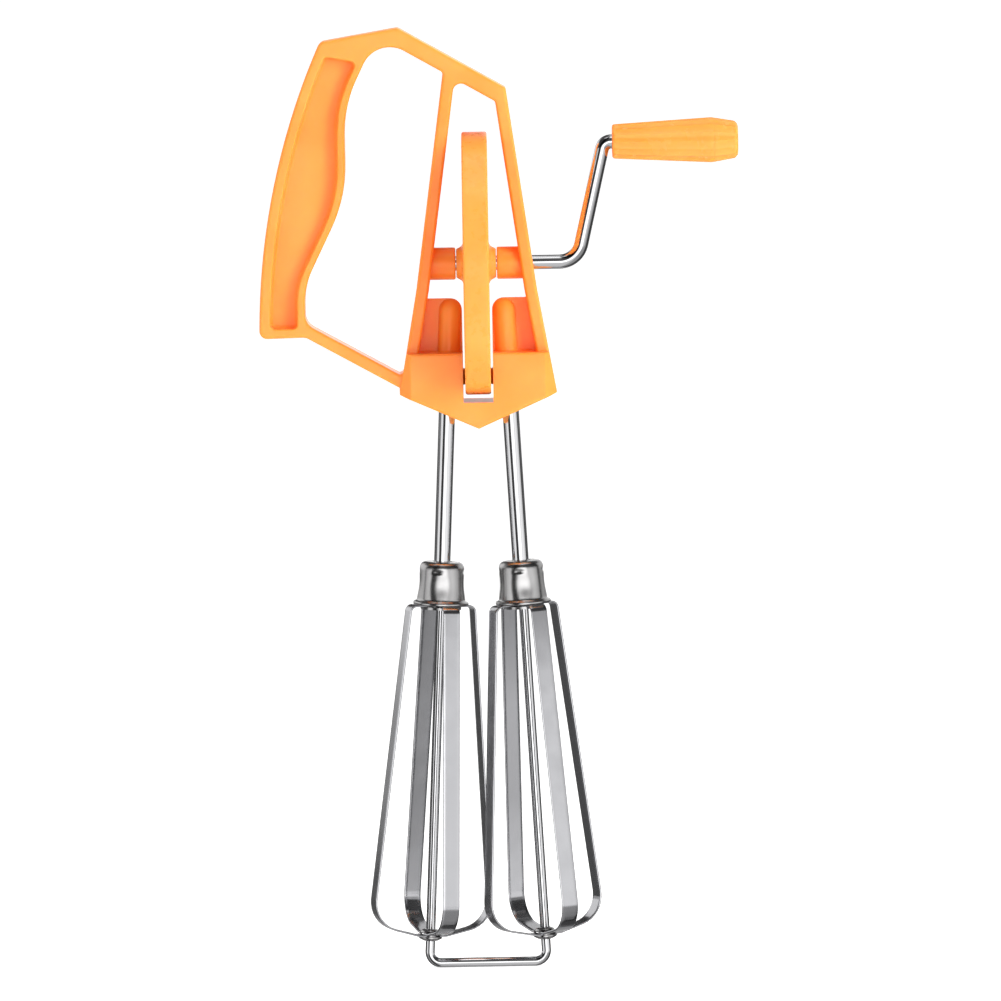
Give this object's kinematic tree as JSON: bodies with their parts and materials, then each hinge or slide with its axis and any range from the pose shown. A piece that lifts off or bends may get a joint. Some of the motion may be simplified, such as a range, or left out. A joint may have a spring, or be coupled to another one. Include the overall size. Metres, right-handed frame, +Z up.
{
  "type": "egg beater",
  "caption": "Hand-cranked rotary egg beater: open plastic frame with side handle, crown gear wheel, cranked rod with turning grip, and interleaved steel whisks on a fixed wire loop.",
  "frame": {"origin": "middle of the wire foot's underside, midway between the two whisks", "axes": "+Z up along the frame's middle, +X towards the crank, +Y away from the cook; the wheel turns about X and every axis lies in the X-Z plane"},
  "size_m": [0.1501, 0.082, 0.2948],
  "materials": {
    "frame_plastic": "glossy moulded, translucent orange",
    "wheel_plastic": "glossy moulded, orange",
    "grip_plastic": "glossy moulded, orange",
    "pinion_plastic": "moulded, orange",
    "plated_wire": "bright chrome-plated drawn wire",
    "tube_steel": "bright plated drawn tube",
    "ferrule_steel": "bright pressed steel",
    "blade_steel": "rolled stainless strip"
  },
  "bodies": {
    "root": {"frame": "frame_plastic", "bottom_cover": "frame_plastic", "wire_frame": "plated_wire"},
    "crank": {"gear_wheel": "wheel_plastic", "crank_rod": "plated_wire"},
    "grip": {"crank_grip": "grip_plastic", "grip_end_plug": "grip_plastic"},
    "left_beater": {"left_pinion": "pinion_plastic", "left_spindle_tube": "tube_steel", "left_ferrule": "ferrule_steel", "left_blade_retainer": "ferrule_steel", "left_blade_loop_a": "blade_steel", "left_blade_loop_b": "blade_steel", "left_bottom_eyelet": "ferrule_steel"},
    "right_beater": {"right_pinion": "pinion_plastic", "right_spindle_tube": "tube_steel", "right_ferrule": "ferrule_steel", "right_blade_retainer": "ferrule_steel", "right_blade_loop_a": "blade_steel", "right_blade_loop_b": "blade_steel", "right_bottom_eyelet": "ferrule_steel"}
  },
  "joints": [
    {"name": "crank_turn", "type": "hinge", "parent": "root", "child": "crank", "pos_m": [0, 0, 0.221], "axis": [1, 0, 0], "continuous": true},
    {"name": "grip_spin", "type": "hinge", "parent": "crank", "child": "grip", "pos_m": [0.06, 0, 0.2582], "axis": [1, 0, 0], "continuous": true},
    {"name": "left_beater_spin", "type": "hinge", "parent": "root", "child": "left_beater", "pos_m": [-0.00768, 0, 0.221], "axis": [0.0488, 0, 0.9988], "continuous": true},
    {"name": "right_beater_spin", "type": "hinge", "parent": "root", "child": "right_beater", "pos_m": [0.00768, 0, 0.221], "axis": [-0.0488, 0, 0.9988], "continuous": true}
  ],
  "couplings": [
    {"joint": "left_beater_spin", "follows": "crank_turn", "ratio": 5.4545},
    {"joint": "right_beater_spin", "follows": "crank_turn", "ratio": -5.4545}
  ]
}
